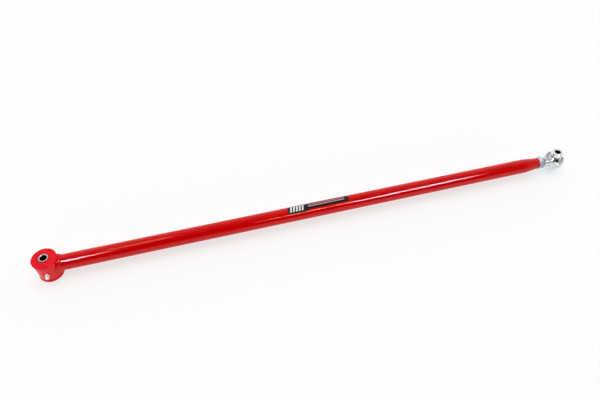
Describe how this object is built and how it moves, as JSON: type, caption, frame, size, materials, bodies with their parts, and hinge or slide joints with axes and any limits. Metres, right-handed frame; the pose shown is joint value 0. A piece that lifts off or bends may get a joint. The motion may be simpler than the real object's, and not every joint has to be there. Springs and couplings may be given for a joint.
{
  "type": "adjustable lateral control arm",
  "caption": "Adjustable red steel suspension bar with a flanged plastic bushing eye at one end and a screwed-in spherical rod end with reducing spacers at the other.",
  "frame": {"origin": "centre of the bushing's bolt bore, halfway between its two faces", "axes": "+X along the bar towards the rod end, +Z along the bolt axes, +Y across the bar, away from the grease fitting"},
  "size_m": [1.173, 0.0569, 0.0508],
  "materials": {
    "red_paint": "glossy powder coat",
    "red_polyurethane": "semi-gloss cast polyurethane",
    "label_vinyl": "printed vinyl, black with plain white and red bars",
    "sleeve_zinc": "zinc-plated, turned",
    "fitting_nickel": "plated",
    "small_steel": "polished",
    "nut_zinc": "clear zinc plate with a blue cast",
    "rod_end_zinc": "satin plate",
    "race_steel": "ground",
    "liner": "woven slippery liner",
    "ball_chrome": "polished hard chrome",
    "spacer_chrome": "polished"
  },
  "bodies": {
    "arm": {"main_tube": "red_paint", "bushing_shell": "red_paint", "eye_weld": "red_paint", "tube_label": "label_vinyl", "bushing_half_upper": "red_polyurethane", "bushing_half_lower": "red_polyurethane", "grease_fitting_body": "fitting_nickel", "grease_fitting_spring": "small_steel"},
    "sleeve": {"inner_sleeve": "sleeve_zinc"},
    "check_ball": {"grease_fitting_ball": "small_steel"},
    "jam_nut": {"jam_nut": "nut_zinc"},
    "rod_end": {"rod_end_body": "rod_end_zinc", "rod_end_race": "race_steel", "rod_end_liner": "liner"},
    "ball": {"rod_end_ball": "ball_chrome"},
    "spacers": {"misalignment_spacer_upper": "spacer_chrome", "misalignment_spacer_lower": "spacer_chrome"}
  },
  "joints": [
    {"name": "sleeve_turn", "type": "hinge", "parent": "arm", "child": "sleeve", "pos_m": [0, 0, 0], "axis": [0, 0, 1], "continuous": true},
    {"name": "check_ball_slide", "type": "slide", "parent": "arm", "child": "check_ball", "axis": [0, 1, 0], "range_m": [0, 0.0008], "stiffness_N_per_m": 50, "deforming": ["grease_fitting_spring"]},
    {"name": "nut_turn", "type": "hinge", "parent": "arm", "child": "jam_nut", "pos_m": [1.086, 0, 0], "axis": [1, 0, 0], "range_deg": [-1440, 1800]},
    {"name": "rod_end_screw", "type": "slide", "parent": "jam_nut", "child": "rod_end", "axis": [1, 0, 0], "range_m": [-0.00636, 0.00795]},
    {"name": "ball_tilt", "type": "hinge", "parent": "rod_end", "child": "ball", "pos_m": [1.127, 0, 0], "axis": [0, 1, 0], "range_deg": [-17, 17]},
    {"name": "spacer_turn", "type": "hinge", "parent": "ball", "child": "spacers", "pos_m": [1.127, 0, 0], "axis": [0, 0, 1], "continuous": true}
  ],
  "couplings": [
    {"joint": "rod_end_screw", "follows": "nut_turn", "m_per_rad": 0.00025266}
  ]
}
